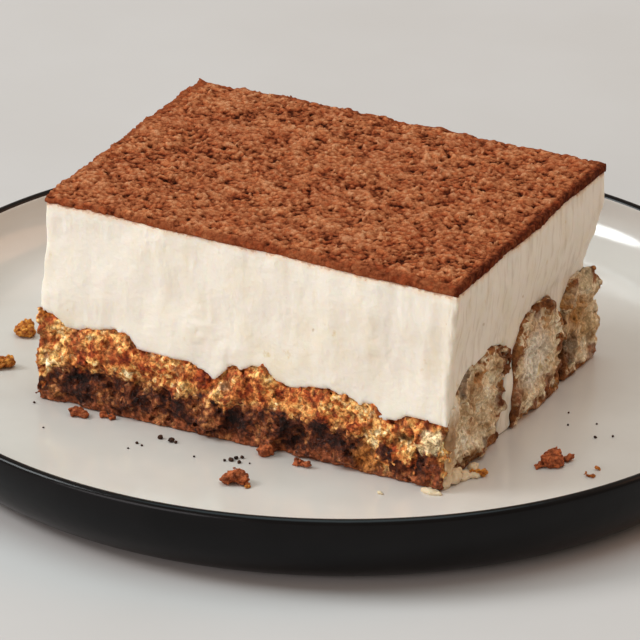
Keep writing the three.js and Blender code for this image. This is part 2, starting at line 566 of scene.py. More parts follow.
@dataclass(frozen=True)
class Grain:
    """Granules of uneven shape that fill the space. A cut and a finish can share them."""

    spacing: float
    shift: float = 0.0

    def read(self, graph: Graph, place: Socket) -> tuple[Socket, Socket]:
        """Reads the granule at a place.

        Args:
            graph: the node tree that gets the nodes.
            place: the place.

        Returns:
            How far out it lies, 0 at the granule's middle and about 1 at its edge, and a vector of three
            random numbers of that granule.
        """
        warped = graph.warp(place, 1.3 * self.spacing, 0.4 * self.spacing)
        away, chance = graph.cells(warped, self.spacing, self.shift)
        edge = 0.75 * self.spacing
        return graph.math("DIVIDE", away, edge), chance


@dataclass(frozen=True)
class Clumps(Cut):
    """Rounded clumps that press against each other, with sharp creases between them."""

    height: float
    grain: Grain
    smallest: float = 0.55  # shares of the height: the lowest clump's, and how deep all are sunk
    sunk: float = 0.45

    def deepen(self, graph: Graph, place: Socket, depth: Socket, bare: Socket) -> Socket:
        """Adds a dome on each granule, of its own height."""
        share, chance = self.grain.read(graph, place)
        dome = graph.minus(1.0, graph.times(share, share))
        size = graph.line(graph.axes(chance)[0], 0.9, self.smallest)
        height = graph.times(graph.minus(graph.times(dome, size), self.sunk), bare)
        return graph.line(height, self.height, depth)


@dataclass(frozen=True)
class Pits(Cut):
    """Ragged pits, where random relief runs high."""

    depth: float
    size: Union[float, Triple]
    onset: float = 0.5  # the lower it is, the more pits there are
    shift: float = 0.0
    rise: float = 0.6  # from the onset to the full depth

    def deepen(self, graph: Graph, place: Socket, depth: Socket, bare: Socket) -> Socket:
        """Takes the pits out."""
        noise = graph.noise(place, self.size, 2.0, self.shift)
        pit = graph.times(graph.smooth(noise, self.onset, self.onset + self.rise), bare)
        return graph.line(pit, -self.depth, depth)


@dataclass(frozen=True)
class Hollow(Cut):
    """One hollow along a short line, with a ragged wall."""

    start: Triple  # millimetres
    end: Triple
    radius: float
    grain: float = 1.4 * MM  # size of the wall's forms
    roughest: float = 0.7 * MM

    def deepen(self, graph: Graph, place: Socket, depth: Socket, bare: Socket) -> Socket:
        """Takes out what lies nearer to the line than the radius."""
        start, line = Vector(self.start) * MM, (Vector(self.end) - Vector(self.start)) * MM
        offset = graph.vector("SUBTRACT", place, start)
        along = graph.vector("DOT_PRODUCT", offset, line)
        share = graph.math("DIVIDE", along, line.length_squared, clamp=True)
        away = graph.vector("DISTANCE", offset, graph.vector("MULTIPLY", line, share))
        reach = min(0.3 * self.radius, self.roughest)
        ragged = graph.times(graph.noise(place, self.grain, 2.0, 3.0), reach)
        wall = graph.minus(graph.math("ADD", away, ragged), self.radius)
        return graph.math("MINIMUM", depth, wall)


@dataclass(frozen=True)
class Carving:
    """How the bare faces of a solid are cut finer."""

    voxel: float
    cuts: tuple[Cut, ...]
    sides: tuple[Side, ...] = ()  # none: the cuts reach all but the underside
    reach: Pair = (2.5 * MM, 6 * MM)  # depths behind a wall where the cuts start to fade, and are gone
    calm: float = 0.0  # without sides: how much weaker the cuts are close to the block's walls
    calm_reach: Pair = (1.6 * MM, 0.2 * MM)  # depths behind a wall where the calm sets in, and is full
    underside: Pair = (-0.8, -0.5)  # how far a face looks up where the cuts start, and where they are full
    foot: float = 0.9 * MM  # height above the well over which the cuts set in
    margin: float = 2 * MM  # kept free round the piece
    skin_voxels: float = 5.0  # thickness of the volume's soft skin, in voxels
    whole: bool = True  # keeps only the largest part
    hidden_below: float = 0.01  # the bareness below which a point counts as hidden
    hidden_share: float = 0.12  # the share of the faces that stays where nothing shows

    def carve(self, piece: Piece) -> None:
        """Cuts the piece by a Geometry Nodes modifier, applies it and thins the hidden faces.

        The mesh gets two attributes: depth, how far a point lies under the plain solid's face in millimetres,
        and bare, which is 1 where a face shows.

        Args:
            piece: a closed mesh. It is replaced by the carved one.
        """
        voxel = self.voxel * 1
        corners = [Vector(c) for c in piece.bound_box]
        margin = Vector((self.margin,) * 3)
        low, high = corners[0] - margin, corners[6] + margin
        tree = bpy.data.node_groups.new(piece.name + "_carving", "GeometryNodeTree")
        tree.interface.new_socket("Solid", in_out="INPUT", socket_type="NodeSocketGeometry")
        tree.interface.new_socket("Carved", in_out="OUTPUT", socket_type="NodeSocketGeometry")
        graph = Graph(tree)
        solid = graph.add("NodeGroupInput").outputs[0]
        place = graph.add("GeometryNodeInputPosition").outputs[0]
        depth, facing = self.depth_below(graph, solid, place)
        bare = self.bareness(graph, place, facing)

        carved = depth
        for cut in self.cuts:
            carved = cut.deepen(graph, place, carved, bare)
        counts = [int(n) for n in np.ceil((high - low) / voxel)]
        volume = graph.add("GeometryNodeVolumeCube", {
            "Density": graph.math("MULTIPLY_ADD", carved, 1 / (self.skin_voxels * voxel), 0.5, clamp=True),
            "Min": low,
            "Max": high,
            "Resolution X": counts[0],
            "Resolution Y": counts[1],
            "Resolution Z": counts[2],
        }).outputs[0]
        mesh = graph.add("GeometryNodeVolumeToMesh", {"Volume": volume, "Threshold": 0.5}).outputs[0]
        for name, value in (("depth", graph.math("DIVIDE", depth, MM)), ("bare", bare)):
            stored = {"Geometry": mesh, "Name": name, "Value": value}
            mesh = graph.add("GeometryNodeStoreNamedAttribute", stored, **ON_POINTS).outputs[0]
        if self.whole:
            mesh = self.main_part(graph, mesh)
        smooth = graph.add("GeometryNodeSetShadeSmooth", {"Geometry": mesh})
        graph.add("NodeGroupOutput", {"Carved": smooth.outputs[0]})

        modifier = piece.modifiers.new("carving", "NODES")
        modifier.node_group = tree
        apply_modifier(piece, modifier)
        piece.data.materials.clear()
        self.thin_hidden(piece)
        count = triangle_count(piece)
        if count > MOST_TRIANGLES:
            thin(piece, MOST_TRIANGLES / count)

    @staticmethod
    def depth_below(graph: Graph, solid: Socket, place: Socket) -> tuple[Socket, Socket]:
        """Finds how deep a place lies in a solid.

        Args:
            graph: the node tree that gets the nodes.
            solid: the closed mesh.
            place: the place.

        Returns:
            The depth under the nearest face, below 0 outside the solid, and that face's normal.
        """
        near = graph.add("GeometryNodeProximity", {"Geometry": solid, "Sample Position": place})
        solid = graph.add("GeometryNodeSetShadeSmooth", {"Geometry": solid}).outputs[0]
        normal = graph.add("GeometryNodeInputNormal").outputs["Normal"]
        sampled = {"Mesh": solid, "Value": normal, "Sample Position": place}
        facing = graph.add("GeometryNodeSampleNearestSurface", sampled, data_type="FLOAT_VECTOR").outputs[0]
        away = graph.vector("SUBTRACT", place, near.outputs["Position"])
        side = graph.math("SIGN", graph.vector("DOT_PRODUCT", away, facing))
        return graph.times(near.outputs["Distance"], graph.times(side, -1.0)), facing

    @staticmethod
    def main_part(graph: Graph, mesh: Socket) -> Socket:
        """Drops closed bubbles and loose scraps, and keeps the part of the mesh with the most points.

        Args:
            graph: the node tree that gets the nodes.
            mesh: the mesh.

        Returns:
            The part that is kept.
        """
        island = graph.add("GeometryNodeInputMeshIsland").outputs["Island Index"]
        counted = {"Value": 1.0, "Group ID": island}
        size = graph.add("GeometryNodeAccumulateField", counted, **ON_POINTS).outputs["Total"]
        asked = {"Geometry": mesh, "Attribute": size}
        largest = graph.add("GeometryNodeAttributeStatistic", asked, **ON_POINTS).outputs["Max"]
        scrap = graph.math("LESS_THAN", size, graph.minus(largest, 0.5))
        return graph.add("GeometryNodeDeleteGeometry", {"Geometry": mesh, "Selection": scrap}).outputs[0]

    def bareness(self, graph: Graph, place: Socket, facing: Socket) -> Socket:
        """Finds where the cuts act: close behind the bare walls, or on all that doesn't face down.

        Args:
            graph: the node tree that gets the nodes.
            place: the place.
            facing: the normal of the solid's nearest face.

        Returns:
            1 where the cuts have their full strength, 0 where they do nothing.
        """
        if not self.sides:
            bare = graph.smooth(graph.axes(facing)[2], *self.underside)
            for side in Side if self.calm else ():
                edge = graph.smooth(BLOCK.depth_behind(graph, place, side), *self.calm_reach)
                bare = graph.times(bare, graph.line(edge, -self.calm, 1.0))
            return bare
        bare = 0.0
        for side in self.sides:
            depth = BLOCK.depth_behind(graph, place, side)
            bare = graph.math("MAXIMUM", bare, graph.smooth(depth, self.reach[1], self.reach[0]))
        above = graph.smooth(graph.axes(place)[2], WELL_HEIGHT, WELL_HEIGHT + self.foot)
        return graph.times(bare, above)

    def thin_hidden(self, piece: Piece) -> None:
        """Merges faces where nothing shows, down to the hidden share of their number.

        Args:
            piece: a carved piece, with its attribute bare.
        """
        count = len(piece.data.vertices)
        bare = np.zeros(count)
        piece.data.attributes["bare"].data.foreach_get("value", bare)
        hidden = np.flatnonzero(bare < self.hidden_below)
        if len(hidden) == 0:
            return
        group = piece.vertex_groups.new(name="hidden")
        group.add([int(i) for i in hidden], 1.0, "REPLACE")
        thin(piece, 1 - (1 - self.hidden_share) * len(hidden) / count, group.name)
        piece.vertex_groups.clear()


# ---------------------------------------------------------------- finishes


@dataclass(frozen=True)
class Finish:
    """A procedural material. Each kind gives the inputs of its shader."""

    name: str

    def inputs(self, graph: Graph, place: Socket) -> dict[str, Input]:
        """Makes the nodes of the finish.

        Args:
            graph: the material's node tree.
            place: the point on the piece, in metres.

        Returns:
            Values and links for the shader's inputs.
        """
        raise NotImplementedError

    def dress(self, piece: Piece) -> None:
        """Makes the material and adds it to the piece.

        Args:
            piece: the piece. Its first material covers it all over.
        """
        material = bpy.data.materials.new(self.name)
        material.use_nodes = True
        material.node_tree.nodes.clear()
        graph = Graph(material.node_tree)
        place = graph.add("ShaderNodeTexCoord").outputs["Object"]
        shader = graph.add("ShaderNodeBsdfPrincipled", self.inputs(graph, place))
        graph.add("ShaderNodeOutputMaterial", {"Surface": shader.outputs[0]})
        piece.data.materials.append(material)


def bump(graph: Graph, height: Socket, distance: float, strength: float = 1.0) -> Socket:
    """Adds a Bump node and returns its normal."""
    inputs = {"Height": height, "Distance": distance, "Strength": strength}
    return graph.add("ShaderNodeBump", inputs).outputs[0]


def glow(weight: float, reach: float, green: float, blue: float) -> dict[str, Input]:
    """Inputs of light that spreads under a skin.

    Args:
        weight: how much of the light does so.
        reach: how far red light gets, in metres.
        green: the share of that reach that green light gets.
        blue: the share that blue light gets.

    Returns:
        The shader's inputs by their names.
    """
    return {"Subsurface Weight": weight, "Subsurface Radius": (1.0, green, blue), "Subsurface Scale": reach}


@dataclass(frozen=True)
class Section:
    """A sponge finger's cross-section, as its crust runs: the middle, half the width and the height."""

    middle: float
    half_width: float
    height: float
    lean: float = 0.0  # how far the back side leans back over the height
    power: float = 3.6  # how square the oblong is, from 2 for an oval

    def depth_in(self, graph: Graph, place: Socket) -> Socket:
        """How deep a place lies under the crust, by a rounded oblong.

        Args:
            graph: the material's node tree.
            place: the place.

        Returns:
            The depth in metres.
        """
        _, y, z = graph.axes(place)
        half_height = self.height / 2
        height = graph.minus(z, WELL_HEIGHT)
        middle = graph.line(height, 0.5 * self.lean / self.height, self.middle)
        across = graph.math("DIVIDE", graph.math("ABSOLUTE", graph.minus(y, middle)), self.half_width)
        up = graph.math("ABSOLUTE", graph.minus(graph.math("DIVIDE", height, half_height), 1.0))
        powers = [graph.math("POWER", share, self.power) for share in (across, up)]
        share = graph.math("POWER", graph.math("ADD", *powers), 1 / self.power)
        return graph.times(graph.minus(1.0, share), half_height)


@dataclass(frozen=True)
class Stain:
    """A spot of another colour in the crumb."""

    place: Triple  # millimetres
    radius: float
    code: str
    core: float = 0.55  # share of the radius that has the full strength
    strength: float = 0.7

    def blend_in(self, graph: Graph, place: Socket, shown: Socket) -> Socket:
        """Mixes the stain into a colour.

        Args:
            graph: the material's node tree.
            place: the point on the piece, already shifted so that the stain gets a ragged edge.
            shown: the colour without the stain.

        Returns:
            The colour with the stain.
        """
        away = graph.vector("DISTANCE", place, Vector(self.place) * MM)
        share = graph.smooth(away, self.radius, self.core * self.radius)
        return graph.blend(graph.times(share, self.strength), shown, colour(self.code))


def spots(graph: Graph, place: Socket, spacing: float, shift: float, largest: float, edge: Pair) -> Socket:
    """Small scattered spots of many sizes.

    Args:
        graph: the material's node tree.
        place: where they are read.
        spacing: the mean spacing of the points that may carry a spot.
        shift: moves the pattern.
        largest: radius of the largest spot.
        edge: how far outside that radius a spot starts, and is full.

    Returns:
        1 inside a spot and 0 outside.
    """
    away, chance = graph.cells(place, spacing, shift)
    size = graph.times(graph.smooth(graph.axes(chance)[0], 0.6, 1.0), largest)
    return graph.smooth(graph.minus(away, size), *edge)


def height_in_mm(graph: Graph, place: Socket) -> Socket:
    """Height of a place above the well, in millimetres."""
    return graph.line(graph.axes(place)[2], 1 / MM, -WELL_HEIGHT / MM)


CRUMB_GRAIN = Grain(1.05 * MM, 2.0)


@dataclass(frozen=True)
class SpongeFinish(Finish):
    """Crumb of a soaked sponge finger: near black where it is wet, golden above, pale in a fresh cut end."""

    section: Section
    stains: tuple[Stain, ...] = ()
    golden: Stops = ((-0.9, "641F0C"), (-0.45, "A2481E"), (0.0, "D28444"), (0.4, "F0BA6E"), (0.9, "FFE8B8"))
    soaked: Stops = ((-0.8, "1A0905"), (-0.2, "471D0D"), (0.3, "743A1C"), (0.8, "B87846"))
    crust: Stops = ((-0.9, "502A12"), (0.0, "8E562C"), (0.8, "C08A50"))
    crumb: Stops = ((-0.9, "A87E56"), (-0.3, "D0B088"), (0.3, "EAD6B4"), (0.9, "F6EAD2"))
    russet: str = "963F1D"
    rim: str = "9C5430"
    wet_level: Pair = (11.0, 8.2)  # millimetres above the well where the coffee thins out, and is full
    rim_level: Pair = (2.6, 0.8)  # millimetres above the well where the base rim starts, and is full
    crust_depth: Pair = (0.9, 3.0)  # millimetres under the crust's face, from crust to crumb
    end_depth: Pair = (2.6 * MM, 1.4 * MM)  # behind an end wall, where the pale cut starts, and is full
    right_dry: Pair = (23 * MM, 34 * MM)  # along X: the coffee thins out towards either end
    left_dry: Pair = (-47 * MM, -50.5 * MM)
    lift: Pair = (7.0, 2.5)  # millimetres by which it thins out there: in streaks, and on the whole

    def inputs(self, graph: Graph, place: Socket) -> dict[str, Input]:
        """Colours by height, by depth under the crust and by granule, with painted light and shade on the
        fine relief, in the creases and in the pits.
        """
        middle = graph.noise(place, 2.4 * MM, detail=3.0, shift=9.1, rough=0.6)
        fine = graph.noise(place, 1.1 * MM, detail=3.0, shift=4.2, rough=0.65)
        outwards, chance = CRUMB_GRAIN.read(graph, place)
        shade, tint, glint = graph.axes(chance)
        patches = graph.times(graph.noise(place, 6.5 * MM, detail=1.0, shift=2.7), 0.7)
        tone = graph.line(middle, 0.5, graph.line(tint, 0.7, -0.35))
        tone = graph.math("ADD", tone, patches)
        ragged = graph.line(middle, 1.6, graph.line(shade, 2.0, -1.0))
        ragged = graph.line(graph.noise(place, 5 * MM), 1.6, ragged)
        level = graph.math("ADD", height_in_mm(graph, place), ragged)

        wet = self.wetness(graph, place, level)
        at_end = self.ends(graph, place)
        at_rim = graph.times(graph.smooth(level, *self.rim_level), 0.75)
        long_cut = graph.blend(at_rim, self.long_cut(graph, place, tone, wet), colour(self.rim))
        shown = graph.blend(at_end, long_cut, self.end_cut(graph, place, tone, ragged))
        stained_place = graph.warp(place, 2.2 * MM, 1.3 * MM)
        for stain in self.stains:
            shown = stain.blend_in(graph, stained_place, shown)
        moist = graph.times(wet, graph.smooth(glint, 0.5, 0.8))
        # the base colour takes the painted light and shade of the light method, warmer in the shade
        return {
            "Base Color": graph.shade(shown, self.light(graph, fine, outwards, at_end)),
            "Roughness": graph.line(moist, -0.45, 0.75),
            "Specular IOR Level": 0.25,
            **glow(0.12, 1.2 * MM, 0.45, 0.2),
            "Normal": bump(graph, fine, 0.3 * MM, 0.9),
        }

    def wetness(self, graph: Graph, place: Socket, level: Socket) -> Socket:
        """Finds how soaked the crumb is, from 0 to 1, with dry upright streaks near the ends.

        Args:
            graph: the material's node tree.
            place: the point on the piece.
            level: its height above the well in millimetres, made uneven.

        Returns:
            The wetness.
        """
        x = graph.axes(place)[0]
        dry = graph.math("MAXIMUM", graph.smooth(x, *self.right_dry), graph.smooth(x, *self.left_dry))
        upright = graph.noise(place, (2.6 * MM, 2.6 * MM, 9 * MM), shift=1.3)
        lift = graph.times(dry, graph.line(upright, *self.lift))
        return graph.smooth(graph.math("ADD", level, lift), *self.wet_level)

    def ends(self, graph: Graph, place: Socket) -> Socket:
        """Finds the cut ends.

        Args:
            graph: the material's node tree.
            place: the point on the piece.

        Returns:
            1 close behind the right or left wall, 0 elsewhere and at the front.
        """
        at_end: Input = 0.0
        for side in (Side.RIGHT, Side.LEFT):
            behind = BLOCK.depth_behind(graph, place, side)
            at_end = graph.math("MAXIMUM", at_end, graph.smooth(behind, *self.end_depth))
        in_front = BLOCK.depth_behind(graph, place, Side.FRONT)
        return graph.times(at_end, graph.smooth(in_front, 1.0 * MM, 3.0 * MM))

    def long_cut(self, graph: Graph, place: Socket, tone: Socket, wet: Socket) -> Socket:
        """Colours of a face along the finger.

        Args:
            graph: the material's node tree.
            place: the point on the piece.
            tone: how light the crumb is there, about -1 to 1.
            wet: how soaked it is, from 0 to 1.

        Returns:
            The colour.
        """
        russet = graph.smooth(graph.noise(place, 4.2 * MM, shift=6.6), 0.1, 0.5)
        golden = graph.blend(graph.times(russet, 0.68), graph.ramp(tone, self.golden), colour(self.russet))
        return graph.blend(wet, golden, graph.ramp(tone, self.soaked))

    def end_cut(self, graph: Graph, place: Socket, tone: Socket, ragged: Socket) -> Socket:
        """Colours of a cut end: brown crust, broken here and there, round pale crumb.

        Args:
            graph: the material's node tree.
            place: the point on the piece.
            tone: how light the crumb is there, about -1 to 1.
            ragged: uneven offset of the crust's inner edge, in millimetres.

        Returns:
            The colour.
        """
        under_crust = graph.line(self.section.depth_in(graph, place), 1 / MM, ragged)
        broken = graph.smooth(graph.noise(place, 4 * MM, shift=14.1), 0.0, 0.5)
        under_crust = graph.line(broken, 3.0, under_crust)
        inner = graph.smooth(under_crust, *self.crust_depth)
        return graph.blend(inner, graph.ramp(tone, self.crust), graph.ramp(tone, self.crumb))

    def light(self, graph: Graph, fine: Socket, outwards: Socket, at_end: Socket) -> Socket:
        """Painted light and shade on the crumb: painted highlights and shade along the fine relief, painted
        shade in the creases between granules and in the pits, the first two more even in the cut ends.

        Args:
            graph: the material's node tree.
            fine: the finest noise of the crumb.
            outwards: how far out in its granule a point lies.
            at_end: 1 in a cut end, 0 elsewhere.

        Returns:
            The painted brightness, with 1 for no change.
        """
        # painted highlight and shade: brighter where the fine noise, which also drives the bump, runs high
        light = graph.line(graph.smooth(fine, -0.6, 0.7), 1.4, 0.46)
        # painted shade in the creases at the granules' edges
        light = graph.times(light, graph.line(graph.smooth(outwards, 0.6, 1.05), -0.3, 1.0))
        even = graph.times(graph.minus(1.0, light), graph.times(at_end, 0.6))
        # painted shade in the carved pits, deeper pits darker
        pit = graph.line(graph.smooth(graph.attribute("depth"), 0.45, 1.9), -0.85, 1.0)
        return graph.times(graph.math("ADD", light, even), pit)


@dataclass(frozen=True)
class CreamFinish(Finish):
    """Satin mascarpone cream with upright knife streaks and a cocoa tint under the powder."""

    cream: str = "F0E9DC"
    streak: str = "EBE1CC"
    tint: str = "EBC29A"
    dust: str = "C08A62"
    # pit: painted shade in the carved pits, also the colour of the yellowish marks where no pit is carved
    pit: str = "DCC594"
    fleck: str = "B79A6C"
    shadow: str = "B09876"
    tint_edge: Pair = (-1.6 * MM, -0.2 * MM)  # heights from the cocoa, where the tint starts and is full
    dust_edge: Pair = (-0.5 * MM, 0.0)
    right_depth: Pair = (2.5 * MM, 1.0 * MM)  # behind the right wall, where its painted shadow streaks start and are full

    def inputs(self, graph: Graph, place: Socket) -> dict[str, Input]:
        """Colours by streaks and marks, with painted shade in the pits and painted shadow along the knife
        drags of the right face, and fine streaks in the bump.
        """
        streaks = graph.noise(place, (2.0 * MM, 2.0 * MM, 10 * MM))
        clouds = graph.noise(place, (7 * MM, 7 * MM, 10 * MM), detail=3.0, shift=5.5)
        mixed = graph.smooth(graph.line(streaks, 0.2, clouds), -0.3, 1.3)
        pale = graph.blend(mixed, colour(self.cream), colour(self.streak))
        pale = self.dusted(graph, place, pale)
        # painted shade: the pit colour grows with the depth in the carved pits
        pale = graph.blend(graph.smooth(graph.attribute("depth"), 0.25, 1.2), pale, colour(self.pit))
        marks = graph.noise(place, (2.4 * MM, 2.4 * MM, 3.6 * MM), detail=3.0, shift=12.3, rough=0.6)
        marked = graph.times(graph.smooth(marks, 0.5, 1.0), graph.smooth(clouds, -0.2, 0.5))
        pale = graph.blend(graph.times(marked, 0.7), pale, colour(self.pit))
        uneven = graph.warp(place, 1.5 * MM, 0.5 * MM)
        fleck = spots(graph, uneven, 5.5 * MM, 3.0, largest=0.5 * MM, edge=(0.1 * MM, -0.25 * MM))
        pale = graph.blend(graph.times(fleck, 0.5), pale, colour(self.fleck))

        at_right = graph.smooth(BLOCK.depth_behind(graph, place, Side.RIGHT), *self.right_depth)
        dragged = graph.noise(place, (1.4 * MM, 1.6 * MM, 9 * MM), detail=3.0, shift=3.8)
        # painted shadow along the knife drags of the right face
        shadow = graph.times(graph.smooth(dragged, -0.1, 0.8), graph.times(at_right, 0.3))
        fine = graph.math("ADD", graph.noise(place, 1.3 * MM, detail=3.0, shift=8.8), streaks)
        fine = graph.line(dragged, graph.times(at_right, -2.0), fine)
        return {
            "Base Color": graph.blend(shadow, pale, colour(self.shadow)),
            "Roughness": 0.48,
            "Specular IOR Level": 0.35,
            **glow(0.4, 2.2 * MM, 0.72, 0.42),
            "Normal": bump(graph, fine, 0.1 * MM, 0.45),
        }

    def dusted(self, graph: Graph, place: Socket, pale: Socket) -> Socket:
        """Adds the cocoa's tint and dust along the top edge.

        Args:
            graph: the material's node tree.
            place: the point on the piece.
            pale: the cream's colour.

        Returns:
            The colour with the tint and the dust.
        """
        x, _, z = graph.axes(place)
        ragged = graph.noise(place, 2.0 * MM, detail=4.0, shift=1.7, rough=0.7)
        under = graph.line(x, CREAM_FALL, graph.minus(z, CREAM_TOP))
        edge = graph.line(ragged, 0.8 * MM, under)
        layers = ((self.tint_edge, 0.45, self.tint), (self.dust_edge, 0.7, self.dust))
        for reach, strength, code in layers:
            pale = graph.blend(graph.times(graph.smooth(edge, *reach), strength), pale, colour(code))
        return pale


COCOA_GRAIN = Grain(1.1 * MM, 3.0)


@dataclass(frozen=True)
class CocoaFinish(Finish):
    """Dry cocoa powder: painted light on the clumps and painted shade, near black, in the pits, at the
    granules' edges and on the right wall.
    """

    # powder: painted light and shade, from pale lit clump tops to near-black shaded pits
    powder: Stops = ((-0.9, "D89A70"), (-0.45, "BE764C"), (-0.1, "9A5331"), (0.2, "5E2812"), (0.5, "240B04"))
    cloud: str = "C8887C"
    dust: str = "D89A78"
    right_depth: Pair = (1.0 * MM, 0.3 * MM)  # behind the right wall, where painted shade darkens it

    def inputs(self, graph: Graph, place: Socket) -> dict[str, Input]:
        """Paints light and shade by depth in the powder and by granule, darker on the right wall, and colours
        by the fine grain, soft clouds and pale dust.
        """
        outwards, chance = COCOA_GRAIN.read(graph, place)
        grain = graph.noise(place, 0.6 * MM, detail=3.0, rough=0.65)
        # painted shade: deeper points and granule edges get darker colours of the ramp
        level = graph.line(grain, 0.22, graph.attribute("depth"))
        level = graph.line(outwards, 0.5, graph.minus(level, 0.2))
        level = graph.line(level, graph.attribute("bare"), -0.1)
        right_wall_shade = graph.smooth(BLOCK.depth_behind(graph, place, Side.RIGHT), *self.right_depth)
        shown = graph.ramp(graph.line(right_wall_shade, 0.25, level), self.powder)
        clouds = graph.smooth(graph.noise(place, 9 * MM, detail=3.0, shift=2.2), -0.8, 0.8)
        shown = graph.blend(graph.times(clouds, 0.3), shown, colour(self.cloud), "MULTIPLY")
        dusty = graph.times(graph.smooth(graph.axes(chance)[1], 0.5, 1.0), 0.35)
        return {
            "Base Color": graph.blend(dusty, shown, colour(self.dust), "SOFT_LIGHT"),
            "Roughness": 0.95,
            "Specular IOR Level": 0.08,
            "Normal": bump(graph, grain, 0.25 * MM, 1.0),
        }


@dataclass(frozen=True)
class WhiteGlaze(Finish):
    """Warm white glaze of the well, faintly uneven, with a few pinholes."""

    pale: str = "D3CCC6"
    greyer: str = "CBC3BC"
    pinhole: str = "8C7C70"

    def inputs(self, graph: Graph, place: Socket) -> dict[str, Input]:
        """Colours by soft clouds and scattered pinholes."""
        clouds = graph.smooth(graph.noise(place, 28 * MM, detail=3.0, shift=3.3), -1.0, 1.0)
        shown = graph.blend(clouds, colour(self.pale), colour(self.greyer))
        hole = spots(graph, place, 11 * MM, 8.0, largest=0.4 * MM, edge=(0.05 * MM, -0.1 * MM))
        return {
            "Base Color": graph.blend(graph.times(hole, 0.5), shown, colour(self.pinhole)),
            "Roughness": 0.17,
            "Specular IOR Level": 0.5,
            "Coat Weight": 0.25,
            "Coat Roughness": 0.05,
            "Normal": bump(graph, graph.noise(place, 12 * MM, shift=6.1), 0.08 * MM, 0.4),
        }


@dataclass(frozen=True)
class BlackGlaze(Finish):
    """Black glaze of the lip and the outer wall, thin and brown on the bare foot ring."""

    black: str = "070607"
    greyer: str = "0F0D0E"
    bare_foot: str = "6B5648"
    foot_height: Pair = (0.45 * MM, 0.15 * MM)  # where the bare foot starts, and is full

    def inputs(self, graph: Graph, place: Socket) -> dict[str, Input]:
        """Colours by soft clouds and by height at the foot."""
        clouds = graph.smooth(graph.noise(place, 16 * MM, detail=3.0, shift=1.3), -1.0, 1.0)
        shown = graph.blend(clouds, colour(self.black), colour(self.greyer))
        foot = graph.smooth(graph.axes(place)[2], *self.foot_height)
        return {
            "Base Color": graph.blend(foot, shown, colour(self.bare_foot)),
            "Roughness": graph.line(foot, 0.5, 0.22),
            "Specular IOR Level": 0.17,
            "Normal": bump(graph, graph.noise(place, 5 * MM, shift=2.1), 0.05 * MM, 0.4),
        }


@dataclass(frozen=True)
class CrumbFinish(Finish):
    """Loose crumb of one colour family."""

    light: str
    dark: str
    # painted shade: what the creases and hollows keep of the colour
    crease_shade: tuple[float, float, float, float] = (0.5, 0.38, 0.3, 1)  # what a crease leaves of the light

    def inputs(self, graph: Graph, place: Socket) -> dict[str, Input]:
        """Colours by patches and granules, with painted shade in the creases and hollows."""
        outwards, chance = Grain(0.7 * MM, 5.0).read(graph, place)
        patches = graph.math("ADD", graph.noise(place, 1.6 * MM), graph.axes(chance)[0])
        shown = graph.blend(graph.smooth(patches, -0.3, 1.3), colour(self.dark), colour(self.light))
        # painted shade in the hollows, by depth, and at the granules' edges
        deep = graph.smooth(graph.attribute("depth"), 0.1, 0.8)
        painted_shade_mask = graph.math("MAXIMUM", deep, graph.smooth(outwards, 0.6, 1.1))
        return {
            "Base Color": graph.blend(painted_shade_mask, shown, self.crease_shade, "MULTIPLY"),
            "Roughness": 0.65,
            "Specular IOR Level": 0.25,
            **glow(0.2, 1.0 * MM, 0.5, 0.25),
            "Normal": bump(graph, graph.noise(place, 0.3 * MM), 0.12 * MM, 0.8),
        }


@dataclass(frozen=True)
class SmearFinish(Finish):
    """Thin cream over soaked crumb, stained brown where it is thinnest."""

    by_height: Stops = ((0.0, "E2CDAE"), (3.4, "D9BE9A"), (6.0, "B8966E"), (11.0, "93704C"),
                        (14.0, "B39470"), (18.0, "E4D4BC"), (22.0, "EEE4D3"))  # millimetres above the well

    def inputs(self, graph: Graph, place: Socket) -> dict[str, Input]:
        """Colours by height, with ragged upright streaks."""
        streaks = graph.noise(place, (0.9 * MM, 0.9 * MM, 5 * MM), detail=3.0, shift=6.6)
        level = graph.line(streaks, 1.6, height_in_mm(graph, place))
        return {
            "Base Color": graph.ramp(level, self.by_height),
            "Roughness": 0.4,
            "Specular IOR Level": 0.35,
            **glow(0.4, 1.5 * MM, 0.65, 0.35),
            "Normal": bump(graph, streaks, 0.1 * MM, 0.6),
        }


@dataclass(frozen=True)
class FloorFinish(Finish):
    """Pale plain floor."""

    pale: str = "C4C0BF"
    darker: str = "BFBAB8"

    def inputs(self, graph: Graph, place: Socket) -> dict[str, Input]:
        """Almost even, with the faintest mottling."""
        clouds = graph.smooth(graph.noise(place, 60 * MM, detail=4.0), -1.5, 1.5)
        shown = graph.blend(clouds, colour(self.pale), colour(self.darker))
        return {"Base Color": shown, "Roughness": 0.85, "Specular IOR Level": 0.2}


# ---------------------------------------------------------------- the plate


